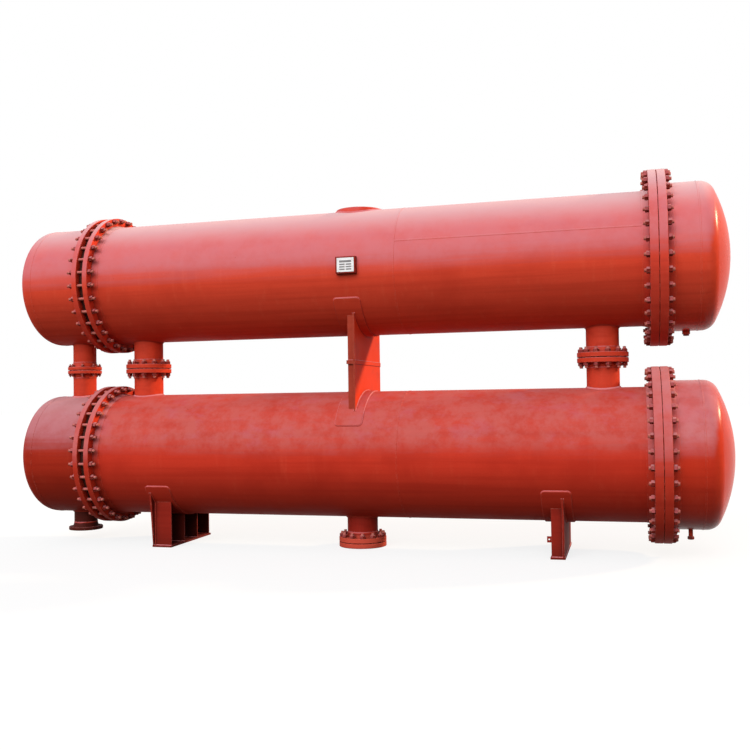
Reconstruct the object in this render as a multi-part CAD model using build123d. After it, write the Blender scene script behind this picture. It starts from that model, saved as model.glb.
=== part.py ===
"""Two shell and tube heat exchangers stacked one on the other.

Each has a dished bonnet and a clamped tubesheet at the left end and a larger
dished cover at the right end. Nozzles join the two shells and the two bonnets,
and the lower shell stands on two saddles.
X runs along the shells, Y across them and Z up from the ground.
"""
import os
from collections import namedtuple
from math import cos, radians, sin, sqrt

from build123d import *

os.makedirs("parts", exist_ok=True)

# Shells, and the larger covers at their right ends
shell_od = 1124.0
shell_wall = 12.0
cover_growth = 100.0
saddle_height = 266.0
cover_flange_gap = 170.0

# Lengths along each exchanger
tubesheet_to_cover_seam = 5060.0
channel_barrel_length = 451.0
cover_barrel_length = 192.0

# Dished heads, with the knuckle radius as a share of the outer diameter
head_straight = 25.0
knuckle_share = 0.1

# Front joint, where two flanges clamp the tubesheet
front_flange_overhang = 90.5
front_flange_thickness = 48.0
front_bolt_edge = 30.0
front_bolt_hole = 30.0
front_bolts = 32
tubesheet_overhang = 33.0
tubesheet_thickness = 58.0
front_gasket_thickness = 3.0
front_gasket_inset = 7.0
front_gasket_width = 32.0

# Rear joint, between shell and cover
rear_flange_overhang = 118.0
rear_flange_thickness = 66.0
rear_bolt_edge = 30.0
rear_bolt_hole = 33.0
rear_bolts = 36
rear_gasket_thickness = 4.0
rear_gasket_inset = 65.0
rear_gasket_width = 40.0

# Tapered hubs and rims of the main flanges
hub_length = 50.0
hub_rise = 16.0
rim_chamfer = 3.0

# Nozzles on the shells
shell_nozzle_od = 273.0
shell_nozzle_wall = 10.0
shell_nozzle_flange_overhang = 76.0
shell_nozzle_flange_thickness = 40.0
shell_nozzle_face_overhang = 28.5
shell_nozzle_bolt_edge = 27.5
shell_nozzle_hole = 30.0
shell_nozzle_bolts = 12
left_nozzle_x = 342.0
right_nozzle_x = 4607.0
bottom_nozzle_x = 2474.0

# Companion flange bolted under the bottom nozzle
companion_thickness = 40.0
companion_pipe_clearance = 1.5
companion_ground_clearance = 4.0

# Nozzles on the channels
channel_nozzle_od = 219.0
channel_nozzle_wall = 8.0
channel_nozzle_flange_overhang = 50.5
channel_nozzle_flange_thickness = 30.0
channel_nozzle_face_overhang = 19.5
channel_nozzle_bolt_edge = 20.0
channel_nozzle_hole = 18.0
channel_nozzle_bolts = 8
channel_nozzle_x = -360.0
channel_outlet_projection = 180.0

# All nozzle flanges
nozzle_face_height = 3.0
nozzle_hub_length = 42.0
nozzle_hub_rise = 12.0

# Drilled pad flange set into the top of the upper shell
pad_flange_rise = 10.0
pad_flange_thickness = 65.0
pad_flange_tapping = 24.0
pad_flange_tapping_depth = 40.0
pad_flange_x = 2488.0

# Wear pads between the shells and their supports
wear_pad_width = 236.0
wear_pad_thickness = 10.0
wear_pad_wrap = 123.0
wear_pad_corner = 30.0

# Saddles under the lower shell
left_saddle_x = 686.0
right_saddle_x = 4233.0
left_saddle_width = 190.0
right_saddle_width = 120.0
saddle_horn_overhang = 58.0
saddle_horn_angle = 35.0
anchor_spacing = 600.0
anchor_hole = 28.0
anchor_slot_length = 60.0

# Support between the shells
support_x = 2510.0
support_pad_x = 2500.0
support_base_width = 80.0
support_horn_overhang = 0.0
support_horn_angle = 43.0

# Plates of saddles and support
base_thickness = 16.0
web_thickness = 14.0
rib_thickness = 12.0
web_inset = 5.0
rib_inset = 8.0
rib_places = (-0.94, -0.32, 0.32, 0.94)

# Plugged drain fittings under the covers
drain_x = 5280.0
drain_coupling_od = 62.0
drain_coupling_length = 27.0
drain_pipe_od = 35.0
drain_pipe_length = 60.0

# Nameplate bracket on the upper shell
bracket_x = 2528.0
bracket_width = 177.0
bracket_height = 142.0
bracket_standoff = 40.0
bracket_sheet = 4.0

# Earthing lug on the right saddle
lug_width = 34.0
lug_height = 50.0
lug_thickness = 8.0
lug_hole = 14.0
lug_rise = 118.0

# Diameters and heights that follow
shell_radius = shell_od / 2
cover_od = shell_od + cover_growth
cover_radius = cover_od / 2
front_flange_od = shell_od + 2 * front_flange_overhang
rear_flange_od = cover_od + 2 * rear_flange_overhang
tubesheet_od = shell_od + 2 * tubesheet_overhang
front_gasket_od = tubesheet_od - 2 * front_gasket_inset
rear_gasket_od = rear_flange_od - 2 * rear_gasket_inset
axis_spacing = rear_flange_od + cover_flange_gap
half_spacing = axis_spacing / 2
lower_axis_height = shell_radius + saddle_height
upper_axis_height = lower_axis_height + axis_spacing
seat_radius = shell_radius + wear_pad_thickness
saddle_horn_reach = seat_radius * cos(radians(saddle_horn_angle))
support_horn_reach = seat_radius * cos(radians(support_horn_angle))
saddle_base_length = 2 * (saddle_horn_reach - saddle_horn_overhang)
support_base_length = 2 * (support_horn_reach - support_horn_overhang)

# Places along X, counted from the middle of the tubesheets
front_face = tubesheet_thickness / 2 + front_gasket_thickness
front_hub_end = front_face + front_flange_thickness + hub_length
channel_weld = -front_hub_end - channel_barrel_length
rear_face = tubesheet_to_cover_seam - rear_gasket_thickness / 2
rear_hub_end = rear_face - rear_flange_thickness - hub_length
cover_face = tubesheet_to_cover_seam + rear_gasket_thickness / 2
cover_hub_end = cover_face + rear_flange_thickness + hub_length
cover_weld = cover_hub_end + cover_barrel_length
head_share = 1 - sqrt((1 - knuckle_share) ** 2 - (0.5 - knuckle_share) ** 2)
left_end = channel_weld - head_straight - head_share * shell_od
right_end = cover_weld + head_straight + head_share * cover_od
middle = (left_end + right_end) / 2

NozzleSize = namedtuple("NozzleSize", "radius bore rim thickness face bolt_circle hole bolts")
shell_nozzle = NozzleSize(
    radius=shell_nozzle_od / 2,
    bore=shell_nozzle_od / 2 - shell_nozzle_wall,
    rim=shell_nozzle_od / 2 + shell_nozzle_flange_overhang,
    thickness=shell_nozzle_flange_thickness,
    face=shell_nozzle_od / 2 + shell_nozzle_face_overhang,
    bolt_circle=shell_nozzle_od / 2 + shell_nozzle_flange_overhang - shell_nozzle_bolt_edge,
    hole=shell_nozzle_hole / 2,
    bolts=shell_nozzle_bolts,
)
channel_nozzle = NozzleSize(
    radius=channel_nozzle_od / 2,
    bore=channel_nozzle_od / 2 - channel_nozzle_wall,
    rim=channel_nozzle_od / 2 + channel_nozzle_flange_overhang,
    thickness=channel_nozzle_flange_thickness,
    face=channel_nozzle_od / 2 + channel_nozzle_face_overhang,
    bolt_circle=channel_nozzle_od / 2 + channel_nozzle_flange_overhang - channel_nozzle_bolt_edge,
    hole=channel_nozzle_hole / 2,
    bolts=channel_nozzle_bolts,
)

UP = 1
DOWN = -1
LEFT = -1
RIGHT = 1


def turned(points):
    """Solid turned about the X axis from (x, radius) corners."""
    outline = Polyline(*[(x, 0, r) for x, r in points], close=True)
    return revolve(make_face(outline), Axis.X, 360)


def ring(start, end, inner, outer):
    """Plain ring about the X axis."""
    return turned([(start, inner), (end, inner), (end, outer), (start, outer)])


def arc(centre_x, centre_r, radius, start, end):
    """Arc in the turning plane, with its angles counted from the X axis."""
    corners = []
    for angle in (start, (start + end) / 2, end):
        turn = radians(angle)
        corners.append((centre_x + radius * cos(turn), 0, centre_r + radius * sin(turn)))
    return ThreePointArc(*corners)


def dished_head(weld, od):
    """Dished head opening towards -X, with its short straight skirt starting at the weld."""
    radius = od / 2
    knuckle = knuckle_share * od
    tangent = weld + head_straight
    crown_x = tangent + head_share * od - od
    meet = Vector(tangent - crown_x, radius - knuckle).get_angle(Vector(1, 0))
    lines = []
    for inset in (0, shell_wall):
        lines.append(Line((weld, 0, radius - inset), (tangent, 0, radius - inset)))
        lines.append(arc(tangent, radius - knuckle, knuckle - inset, 90, meet))
        lines.append(arc(crown_x, 0, od - inset, meet, 0))
    apex = crown_x + od
    lines.append(Line((apex, 0, 0), (apex - shell_wall, 0, 0)))
    lines.append(Line((weld, 0, radius), (weld, 0, radius - shell_wall)))
    return revolve(make_face(lines), Axis.X, 360)


def neck_flange(face, toward, rim, thickness, neck, bolt_edge, hole, bolts):
    """Main flange with a tapered hub and a bolt circle, running from its face in the direction toward."""
    bore = neck - shell_wall
    chamfer = toward * rim_chamfer
    back = face + toward * thickness
    hub_end = back + toward * hub_length
    body = turned(
        [
            (face, bore),
            (face, rim - rim_chamfer),
            (face + chamfer, rim),
            (back - chamfer, rim),
            (back, rim - rim_chamfer),
            (back, neck + hub_rise),
            (hub_end, neck),
            (hub_end, bore),
        ]
    )
    drill = Pos((face + back) / 2, 0, rim - bolt_edge) * shell_core(2 * thickness, hole / 2)
    return body - [Rot((step + 0.5) * 360 / bolts, 0, 0) * drill for step in range(bolts)]


def upright(radius, length):
    """Upright round bar standing on the shell axis."""
    return Cylinder(radius, length, align=(Align.CENTER, Align.CENTER, Align.MIN))


def shell_core(length, radius):
    """Round bar along X, used to drill flanges and to fit pieces to a shell's outside."""
    return Rot(0, 90, 0) * Cylinder(radius, length)


def turn_over(shape, direction):
    """Leave a piece pointing up, or turn it about X to point down."""
    return shape if direction == UP else Rot(180, 0, 0) * shape


def bored(tube, x, direction, radius):
    """Tube with the opening for one nozzle."""
    opening = upright(radius, shell_od)
    return tube - Pos(x, 0, 0) * turn_over(opening, direction)


def upright_turned(corners):
    """Solid turned about the Z axis from (radius, z) corners."""
    outline = Polyline(*[(r, 0, z) for r, z in corners], close=True)
    return revolve(make_face(outline), Axis.Z, 360)


def bolt_places(size):
    """Places of a nozzle's bolts, set astride its centre lines."""
    return PolarLocations(size.bolt_circle, size.bolts, 180 / size.bolts)


def rim_holes(size, foot, depth):
    """Bolt holes of a nozzle flange whose rim starts at the given height."""
    return bolt_places(size) * (Pos(0, 0, foot) * upright(size.hole, depth))


def nozzle(size, reach, direction):
    """Nozzle standing on a shell, with its flange face at the given reach from the shell axis."""
    rim_top = reach - nozzle_face_height
    rim_foot = rim_top - size.thickness
    body = upright_turned(
        [
            (size.bore, reach),
            (size.face, reach),
            (size.face, rim_top),
            (size.rim - rim_chamfer, rim_top),
            (size.rim, rim_top - rim_chamfer),
            (size.rim, rim_foot + rim_chamfer),
            (size.rim - rim_chamfer, rim_foot),
            (size.radius + nozzle_hub_rise, rim_foot),
            (size.radius, rim_foot - nozzle_hub_length),
            (size.radius, shell_radius / 2),
            (size.bore, shell_radius / 2),
        ]
    )
    body -= shell_core(4 * size.radius, shell_radius)
    return turn_over(body - rim_holes(size, rim_foot, size.thickness), direction)


def companion_flange(size, reach):
    """Loose flange bolted under a nozzle and bored to slip over a pipe."""
    bore = size.radius + companion_pipe_clearance
    rim_top = reach + nozzle_face_height
    rim_end = rim_top + companion_thickness
    body = upright_turned(
        [
            (bore, reach),
            (size.face, reach),
            (size.face, rim_top),
            (size.rim - rim_chamfer, rim_top),
            (size.rim, rim_top + rim_chamfer),
            (size.rim, rim_end - rim_chamfer),
            (size.rim - rim_chamfer, rim_end),
            (bore, rim_end),
        ]
    )
    return turn_over(body - rim_holes(size, rim_top, companion_thickness), DOWN)


def pad_flange(size):
    """Thick ring with tapped holes, standing a little above the crown of the upper shell."""
    foot = shell_radius + pad_flange_rise - pad_flange_thickness
    ring_body = upright_turned(
        [
            (size.bore, foot),
            (size.rim, foot),
            (size.rim, foot + pad_flange_thickness - rim_chamfer),
            (size.rim - rim_chamfer, foot + pad_flange_thickness),
            (size.bore, foot + pad_flange_thickness),
        ]
    )
    tapping_foot = foot + pad_flange_thickness - pad_flange_tapping_depth
    tapping = Pos(0, 0, tapping_foot) * upright(pad_flange_tapping / 2, pad_flange_tapping_depth)
    return ring_body - bolt_places(size) * tapping


def wear_pad(direction):
    """Curved pad with rounded corners, lying on the shell above or below."""
    section = Plane.XZ * Rectangle(wear_pad_width, wear_pad_thickness)
    section = Pos(0, 0, shell_radius + wear_pad_thickness / 2) * section
    pad = Rot(-wear_pad_wrap / 2, 0, 0) * revolve(section, Axis.X, wear_pad_wrap)
    corners = pad.edges().filter_by(lambda edge: abs(edge.length - wear_pad_thickness) < 0.01)
    return turn_over(fillet(corners, wear_pad_corner), direction)


def support(reach, base_length, horn_angle, base_width, web_side, direction):
    """Welded web, ribs and base plate, with the base face at the given reach from the shell axis."""
    base_foot = reach - base_thickness
    horn_reach = seat_radius * cos(radians(horn_angle))
    horn_drop = seat_radius * sin(radians(horn_angle))
    web_x = web_side * (base_width / 2 - web_inset - web_thickness / 2)
    rib_edge = -web_side * (base_width / 2 - rib_inset)
    web_outline = Polyline(
        (-horn_reach, horn_drop),
        (horn_reach, horn_drop),
        (base_length / 2, base_foot),
        (-base_length / 2, base_foot),
        close=True,
    )
    web = extrude(Plane.YZ * make_face(web_outline), web_thickness / 2, both=True)
    body = Pos(web_x, 0, 0) * web
    rib_depth = abs(rib_edge - web_x) - web_thickness / 2
    rib_x = (rib_edge + web_x - web_side * web_thickness / 2) / 2
    for place in rib_places:
        rib_y = place * base_length / 2
        body += Pos(rib_x, rib_y, base_foot / 2) * Box(rib_depth, rib_thickness, base_foot)
    body -= shell_core(2 * base_width, seat_radius)
    base = Box(base_width, base_length, base_thickness)
    body += Pos(0, 0, reach - base_thickness / 2) * base
    return turn_over(body, direction)


def anchored(saddle, slot_length):
    """Saddle with its two anchor holes, or slots where a slot length is given."""
    opening = Cylinder(anchor_hole / 2, 4 * base_thickness)
    if slot_length:
        opening = extrude(SlotOverall(slot_length, anchor_hole), 2 * base_thickness, both=True)
    for side in (-1, 1):
        saddle -= Pos(0, side * anchor_spacing / 2, -lower_axis_height) * opening
    return saddle


def drain(length, od):
    """Plugged drain fitting under a cover."""
    body = Pos(0, 0, -cover_radius - length) * upright(od / 2, 2 * length)
    return body - shell_core(4 * od, cover_radius)


def nameplate_bracket():
    """Sheet tray standing off the front of the upper shell on two legs."""
    front = -shell_radius - bracket_standoff
    tray = Pos(0, front + bracket_sheet / 2, 0) * Box(bracket_width, bracket_sheet, bracket_height)
    leg_reach = 2 * bracket_standoff
    for side in (-1, 1):
        leg_x = side * (bracket_width - bracket_sheet) / 2
        leg = Box(bracket_sheet, leg_reach, bracket_height)
        tray += Pos(leg_x, front + leg_reach / 2, 0) * leg
    return tray - shell_core(2 * bracket_width, shell_radius)


def earthing_lug():
    """Small drilled tab standing on the front rib of the right saddle."""
    tab = Box(lug_width, lug_thickness, lug_height)
    return tab - Rot(90, 0, 0) * Cylinder(lug_hole / 2, 4 * lug_thickness)


def exchanger(prefix, shell_openings, channel_openings):
    """Pieces of one exchanger about its own axis, named with the given prefix."""
    pieces = {}
    inner = shell_radius - shell_wall
    front = (front_flange_od / 2, front_flange_thickness, shell_radius)
    front_pattern = (front_bolt_edge, front_bolt_hole, front_bolts)
    rear_pattern = (rear_bolt_edge, rear_bolt_hole, rear_bolts)
    rear_rim = rear_flange_od / 2
    pieces["channel_head"] = Rot(0, 0, 180) * dished_head(-channel_weld, shell_od)
    barrel = ring(channel_weld, -front_hub_end, inner, shell_radius)
    for opening in channel_openings:
        barrel = bored(barrel, *opening)
    pieces["channel_barrel"] = barrel
    pieces["channel_flange"] = neck_flange(-front_face, LEFT, *front, *front_pattern)
    half_sheet = tubesheet_thickness / 2
    pieces["tubesheet"] = ring(-half_sheet, half_sheet, 0, tubesheet_od / 2)
    gasket_inner = front_gasket_od / 2 - front_gasket_width
    gaskets = ring(half_sheet, front_face, gasket_inner, front_gasket_od / 2)
    gaskets += ring(-front_face, -half_sheet, gasket_inner, front_gasket_od / 2)
    pieces["tubesheet_gaskets"] = gaskets
    pieces["front_shell_flange"] = neck_flange(front_face, RIGHT, *front, *front_pattern)
    shell = ring(front_hub_end, rear_hub_end, inner, shell_radius)
    for opening in shell_openings:
        shell = bored(shell, *opening)
    pieces["shell"] = shell
    pieces["rear_shell_flange"] = neck_flange(
        rear_face, LEFT, rear_rim, rear_flange_thickness, shell_radius, *rear_pattern
    )
    gasket_inner = rear_gasket_od / 2 - rear_gasket_width
    pieces["cover_gasket"] = ring(rear_face, cover_face, gasket_inner, rear_gasket_od / 2)
    pieces["cover_flange"] = neck_flange(
        cover_face, RIGHT, rear_rim, rear_flange_thickness, cover_radius, *rear_pattern
    )
    pieces["cover_barrel"] = ring(cover_hub_end, cover_weld, cover_radius - shell_wall, cover_radius)
    pieces["cover_head"] = dished_head(cover_weld, cover_od)
    return {prefix + name: shape for name, shape in pieces.items()}


# Pieces of the two exchangers, first about their own axes
shell_bore = shell_nozzle.bore
channel_bore = channel_nozzle.bore
upper = exchanger(
    "upper_",
    [
        (left_nozzle_x, DOWN, shell_bore),
        (right_nozzle_x, DOWN, shell_bore),
        (pad_flange_x, UP, shell_nozzle.rim),
    ],
    [(channel_nozzle_x, DOWN, channel_bore)],
)
lower = exchanger(
    "lower_",
    [
        (left_nozzle_x, UP, shell_bore),
        (right_nozzle_x, UP, shell_bore),
        (bottom_nozzle_x, DOWN, shell_bore),
    ],
    [(channel_nozzle_x, UP, channel_bore), (channel_nozzle_x, DOWN, channel_bore)],
)

# Nozzles
for level, prefix, direction in ((upper, "upper_", DOWN), (lower, "lower_", UP)):
    shell_neck = nozzle(shell_nozzle, half_spacing, direction)
    channel_neck = nozzle(channel_nozzle, half_spacing, direction)
    level[prefix + "left_shell_nozzle"] = Pos(left_nozzle_x, 0, 0) * shell_neck
    level[prefix + "right_shell_nozzle"] = Pos(right_nozzle_x, 0, 0) * shell_neck
    level[prefix + "channel_nozzle"] = Pos(channel_nozzle_x, 0, 0) * channel_neck
companion_depth = nozzle_face_height + companion_thickness + companion_ground_clearance
bottom_reach = lower_axis_height - companion_depth
outlet_reach = shell_radius + channel_outlet_projection
bottom_neck = nozzle(shell_nozzle, bottom_reach, DOWN)
outlet_neck = nozzle(channel_nozzle, outlet_reach, DOWN)
lower["bottom_nozzle"] = Pos(bottom_nozzle_x, 0, 0) * bottom_neck
lower["bottom_companion_flange"] = Pos(bottom_nozzle_x, 0, 0) * companion_flange(shell_nozzle, bottom_reach)
lower["channel_outlet_nozzle"] = Pos(channel_nozzle_x, 0, 0) * outlet_neck
upper["top_pad_flange"] = Pos(pad_flange_x, 0, 0) * pad_flange(shell_nozzle)

# Saddles and the support between the shells
saddle_plates = (lower_axis_height, saddle_base_length, saddle_horn_angle)
left_body = support(*saddle_plates, left_saddle_width, LEFT, DOWN)
right_body = support(*saddle_plates, right_saddle_width, RIGHT, DOWN)
lower["left_saddle"] = Pos(left_saddle_x, 0, 0) * anchored(left_body, 0)
lower["right_saddle"] = Pos(right_saddle_x, 0, 0) * anchored(right_body, anchor_slot_length)
lower["left_saddle_pad"] = Pos(left_saddle_x, 0, 0) * wear_pad(DOWN)
lower["right_saddle_pad"] = Pos(right_saddle_x, 0, 0) * wear_pad(DOWN)
support_plates = (half_spacing, support_base_length, support_horn_angle, support_base_width)
lower_half = support(*support_plates, RIGHT, UP)
upper_half = support(*support_plates, RIGHT, DOWN)
lower["lower_support"] = Pos(support_x, 0, 0) * lower_half
upper["upper_support"] = Pos(support_x, 0, 0) * upper_half
lower["lower_support_pad"] = Pos(support_pad_x, 0, 0) * wear_pad(UP)
upper["upper_support_pad"] = Pos(support_pad_x, 0, 0) * wear_pad(DOWN)

# Small fittings
lower["lower_cover_drain"] = Pos(drain_x, 0, 0) * drain(drain_pipe_length, drain_pipe_od)
upper["upper_cover_drain"] = Pos(drain_x, 0, 0) * drain(drain_coupling_length, drain_coupling_od)
upper["nameplate_bracket"] = Pos(bracket_x, 0, 0) * nameplate_bracket()
lug_x = right_saddle_x - right_saddle_width / 2 + rib_inset - lug_width / 2
lug_y = rib_places[0] * saddle_base_length / 2
lug_z = base_thickness + lug_rise + lug_height / 2 - lower_axis_height
lower["earthing_lug"] = Pos(lug_x, lug_y, lug_z) * earthing_lug()

# Both exchangers in their places
for pieces, height in ((lower, lower_axis_height), (upper, upper_axis_height)):
    for name, shape in pieces.items():
        export_step(Pos(-middle, 0, height) * shape, f"parts/{name}.step")
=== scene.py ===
"""Looks of two stacked shell and tube heat exchangers in red oxide primer.

The solids keep their shapes. This script gives them their paint and adds the
stud bolts, weld beads, splice bolts, drain plugs and the bare nameplate.
Lengths are metres, in the frame of the solids.
"""
import math
from collections import namedtuple

import bmesh
import bpy
from mathutils import Matrix, Vector


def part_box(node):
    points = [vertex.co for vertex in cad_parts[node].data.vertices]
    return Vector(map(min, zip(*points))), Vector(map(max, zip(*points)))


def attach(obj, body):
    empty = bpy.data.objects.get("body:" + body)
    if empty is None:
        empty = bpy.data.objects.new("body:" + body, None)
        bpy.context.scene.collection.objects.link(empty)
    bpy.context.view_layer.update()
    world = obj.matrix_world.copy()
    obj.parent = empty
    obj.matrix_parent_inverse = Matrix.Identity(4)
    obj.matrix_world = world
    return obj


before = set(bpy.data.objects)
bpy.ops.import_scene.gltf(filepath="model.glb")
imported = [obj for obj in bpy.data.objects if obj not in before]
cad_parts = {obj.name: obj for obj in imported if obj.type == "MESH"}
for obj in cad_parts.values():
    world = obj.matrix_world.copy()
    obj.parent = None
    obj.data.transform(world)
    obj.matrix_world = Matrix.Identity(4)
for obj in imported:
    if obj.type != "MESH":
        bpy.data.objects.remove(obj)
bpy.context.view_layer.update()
scene = bpy.context.scene
X_AXIS = Vector((1, 0, 0))
Y_AXIS = Vector((0, 1, 0))
Z_AXIS = Vector((0, 0, 1))
UP, DOWN, LEFT, RIGHT = 1, -1, -1, 1

# Camera
CAMERA_PLACE = (2.407, -8.016, 1.330)
CAMERA_YAW = -0.2681
CAMERA_PITCH = 0.0249
CAMERA_ROLL = -0.0149
CAMERA_LENS = 44.24
CAMERA_SENSOR = 36.0

# Light and floor
SUN_FROM = (0.78, 0.45, 0.38)
SUN_STRENGTH = 3.6
SUN_COLOUR = (1.0, 0.72, 0.44)
SUN_ANGLE = math.radians(4)
FILL_FROM = (-0.12, -0.86, 0.50)
FILL_STRENGTH = 2.5
FILL_ANGLE = math.radians(50)
LAMP_HEIGHT = 8.0
WHITE = (1, 1, 1)
SKY_TOP = (0.97, 0.98, 1.0)
SKY_LOW = (0.10, 0.09, 0.09)
SKY_FADE = (-0.15, 0.35)
SKY_STRENGTH = 0.73
FLOOR_SIZE = 160.0
FLOOR_PALE = (0.9, 0.9, 0.9)
FLOOR_WHITE = 0.80
FLOOR_BOUNCE = (0.06, 0.056, 0.052)

# Flange sizes that the bolts follow
FRONT_FLANGE = 0.048
REAR_FLANGE = 0.066
MAIN_BOLT_EDGE = 0.030
FRONT_BOLTS = 32
REAR_BOLTS = 36
NOZZLE_FACE = 0.003
NOZZLE_HUB = 0.042

# Plates that the weld beads follow
PAD_CORNER = 0.030
PAD_CORNER_STEPS = 10
BASE_PLATE = 0.016
WEB_PLATE = 0.014
WEB_INSET = 0.005
RIB_PLATE = 0.012
RIB_INSET = 0.008
RIB_PLACES = (-0.94, -0.32, 0.32, 0.94)
SADDLE_OVERHANG = 0.058
SPLICE_PLACES = (-0.63, 0.0, 0.63)

# Weld beads
BEAD_STEP = 0.005
RIPPLE_STEPS = 3
RIPPLE_DIP = 0.84
SEAM_WIDTH = 0.018
SEAM_HEIGHT = 0.0022
SEAM_SHOULDER = (0.65, 0.7)
SEAM_SINK = 0.002
FILLET_THROAT = 0.6
FILLET_SINK = 0.0015
ROOT_LEG = 0.012
PAD_LEG = 0.008
PLATE_LEG = 0.006
SHELL_SEAM_FROM_TUBESHEET = 2.933
SHELL_SEAM_RISE = math.radians(20)

# Nameplate
PLATE_WIDTH = 0.150
PLATE_HEIGHT = 0.120
PLATE_SHEET = 0.002
PLATE_BEVEL = 0.0004
BORDER_WIDTH = 0.006
BORDER_RISE = 0.0016
BORDER_BEVEL = 0.0005
RIVET_INSET = 0.013
RIVET_RADIUS = 0.0045
RIVET_SIDES = 16
RIVET_DOME = ((-0.001, 1.0), (0.0006, 0.97), (0.0016, 0.75), (0.0022, 0.4))
FIELD_WIDTH = 0.048
FIELD_HEIGHT = 0.012
FIELD_RISE = 0.0008
FIELD_BEVEL = 0.0002
FIELD_GAP = 0.010
FIELD_ROWS = 3
FIELD_FIRST = 0.004
FIELD_STEP = 0.021
TITLE_HEIGHT = 0.018
TITLE_PLACE = 0.029

# Bolts and nuts, each nut turned a little further than the one before
NUT_FACE = 0.95
NUT_CHAMFER = 0.12
MAIN_NUT_TWIST = 0.7
NOZZLE_NUT_TWIST = 0.9
ROD_SIDES = 14
ROD_TIP = 0.80
THREADS = 4
THREAD_ROOT = 0.90
FLUSH_START = 0.001
DRAIN_PLUGS = (("upper_cover_drain", 0.041, 0.014), ("lower_cover_drain", 0.046, 0.026))
BoltSize = namedtuple("BoltSize", "radius across nut pitch tail")
FRONT_STUD = BoltSize(0.0135, 0.042, 0.030, 0.003, 0.026)
REAR_STUD = BoltSize(0.015, 0.046, 0.030, 0.0035, 0.016)
NOZZLE_STUD = BoltSize(0.0135, 0.042, 0.028, 0.003, 0.018)
CHANNEL_STUD = BoltSize(0.008, 0.028, 0.018, 0.002, 0.012)
SPLICE_BOLT = BoltSize(0.008, 0.026, 0.014, 0.002, 0.007)

NozzleSize = namedtuple("NozzleSize", "neck flange bolt_edge bolts stud")
SHELL_NOZZLE = NozzleSize(0.1365, 0.040, 0.0275, 12, NOZZLE_STUD)
CHANNEL_NOZZLE = NozzleSize(0.1095, 0.030, 0.020, 8, CHANNEL_STUD)

# Edges of added pieces that stay sharp
SHARP_EDGE = math.radians(35)


class Piece:
    """Mesh under construction."""

    def __init__(self):
        self.points = []
        self.faces = []

    def loft(self, rings, path_closed=False):
        """Skin closed rings of equal length, capped at both ends unless the path closes."""
        first = len(self.points)
        size = len(rings[0])
        for ring in rings:
            self.points.extend(ring)
        spans = len(rings) if path_closed else len(rings) - 1
        for span in range(spans):
            here = first + span * size
            there = first + (span + 1) % len(rings) * size
            for step in range(size):
                after = (step + 1) % size
                self.faces.append((here + step, here + after, there + after, there + step))
        if not path_closed:
            last = first + (len(rings) - 1) * size
            self.faces.append(tuple(range(first, first + size)))
            self.faces.append(tuple(range(last, last + size)))

    def make(self, name, material, slot=None):
        """Turn the mesh into a piece that rides on the root body."""
        mesh = bpy.data.meshes.new(name)
        mesh.from_pydata([tuple(p) for p in self.points], [], self.faces)
        work = bmesh.new()
        work.from_mesh(mesh)
        bmesh.ops.recalc_face_normals(work, faces=work.faces)
        work.to_mesh(mesh)
        work.free()
        mesh.shade_smooth()
        mesh.set_sharp_from_angle(angle=SHARP_EDGE)
        mesh.materials.append(material)
        piece = bpy.data.objects.new(name, mesh)
        scene.collection.objects.link(piece)
        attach(piece, "root")


def circle(place, radius, height, sides):
    """Ring of points about the local Z axis of a place."""
    ring = []
    for step in range(sides):
        turn = 2 * math.pi * step / sides
        ring.append(place @ Vector((radius * math.cos(turn), radius * math.sin(turn), height)))
    return ring


def along(origin, direction):
    """Place at an origin with its Z axis along a direction."""
    turn = Vector(direction).to_track_quat("Z", "Y").to_matrix().to_4x4()
    return Matrix.Translation(origin) @ turn


# Paint and metal colours
RED = (0.68, 0.062, 0.028)
# The lower exchanger's red, darker as painted shade from the upper exchanger.
SHADED_LOWER_RED = (0.54, 0.035, 0.016)
# Colours of chalking and painted sky reflection on faces that look up.
CHALK_AND_SHEEN_PINK = (0.60, 0.158, 0.172)
DULL_CHALK_AND_SHEEN_PINK = (0.50, 0.130, 0.118)
# Painted sunlight: the brighter, warmer red of faces that look along +X, toward the sun.
SUNLIT_RED = (0.70, 0.052, 0.016)
DUSTY_RED = (0.62, 0.088, 0.050)
# Painted shade: the near-black red that surfaces looking down are blended toward.
UNDERSIDE_SHADE = (0.02, 0.003, 0.002)
BRUISED = (0.46, 0.13, 0.18)
# Sun bleaching and a painted highlight on the crown.
BLEACH_AND_HIGHLIGHT = (0.64, 0.41, 0.42)
CHIPPED = (0.16, 0.035, 0.02)
# Worn paint and a painted highlight on the edges.
WORN_AND_HIGHLIGHTED_EDGE = (0.56, 0.20, 0.15)
# Soiling and painted shade in corners and gaps.
GRIME_AND_SHADE = (0.030, 0.006, 0.004)
RUST = (0.075, 0.020, 0.012)
# Painted shade: the tubesheet edge in the flange gap is near black.
SHADED_TUBESHEET_EDGE = (0.05, 0.015, 0.011)
GASKET_DARK = (0.012, 0.011, 0.011)
GASKET_LIGHT = (0.05, 0.045, 0.042)
PLATE_STAIN = (0.42, 0.36, 0.33)
DUST_TOP = 0.125
DUST_FADE = 0.03
EDGE_REACH = 0.006
# How softly the chalking and painted sky reflection fade in, and how far their border wanders.
CHALK_AND_SHEEN_FADE = 0.20
CHALK_AND_SHEEN_WANDER = 0.04
# How far the painted sky reflection is moved off the sunlit +X faces.
SUN_SIDE_SHIFT = 0.34
DRIP_STRETCH = (15, 15, 0.9)
SWEEP_STRETCH = (0.7, 9, 9)
STREAK_STRETCH = (0.6, 22, 22)


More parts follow.
